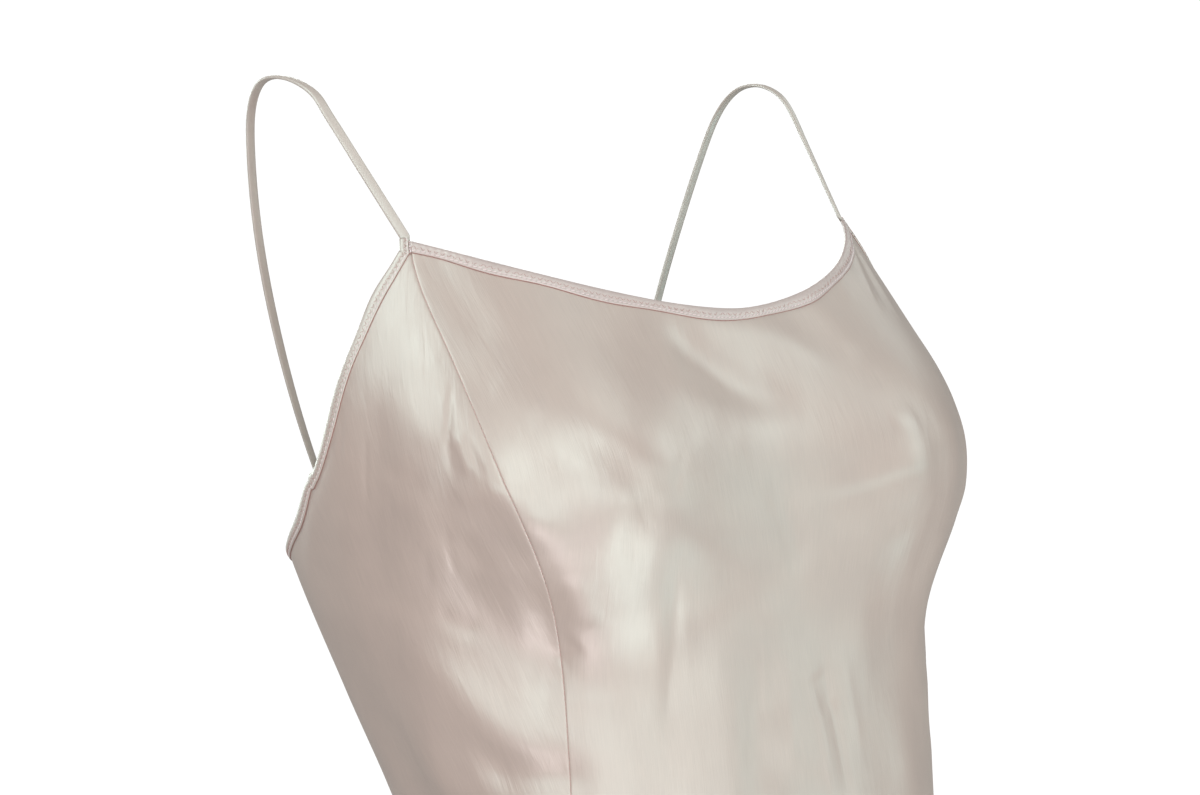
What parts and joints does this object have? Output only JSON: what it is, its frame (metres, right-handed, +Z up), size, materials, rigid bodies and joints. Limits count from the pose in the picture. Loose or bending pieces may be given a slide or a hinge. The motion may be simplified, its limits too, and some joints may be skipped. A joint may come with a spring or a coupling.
{
  "type": "slip dress",
  "caption": "Satin slip dress with a scooped front, low back, princess seams, bound edges and thin shoulder straps, hollow and filled out as if worn.",
  "frame": {"origin": "midway between the tops of the two shoulder straps, where the wearer's shoulders hold the dress", "axes": "+Z up; the front of the dress faces -Y, so the wearer's right is -X"},
  "size_m": [0.4755, 0.3401, 1.1207],
  "materials": {
    "satin": "satin",
    "satin_binding": "satin"
  },
  "bodies": {
    "root": {"front_panel": "satin", "side_panel_right": "satin", "side_panel_left": "satin", "back_panel": "satin", "neckline_binding": "satin_binding", "armhole_binding_right": "satin_binding", "armhole_binding_left": "satin_binding", "back_binding": "satin_binding", "strap_right": "satin_binding", "strap_left": "satin_binding"}
  },
  "joints": []
}
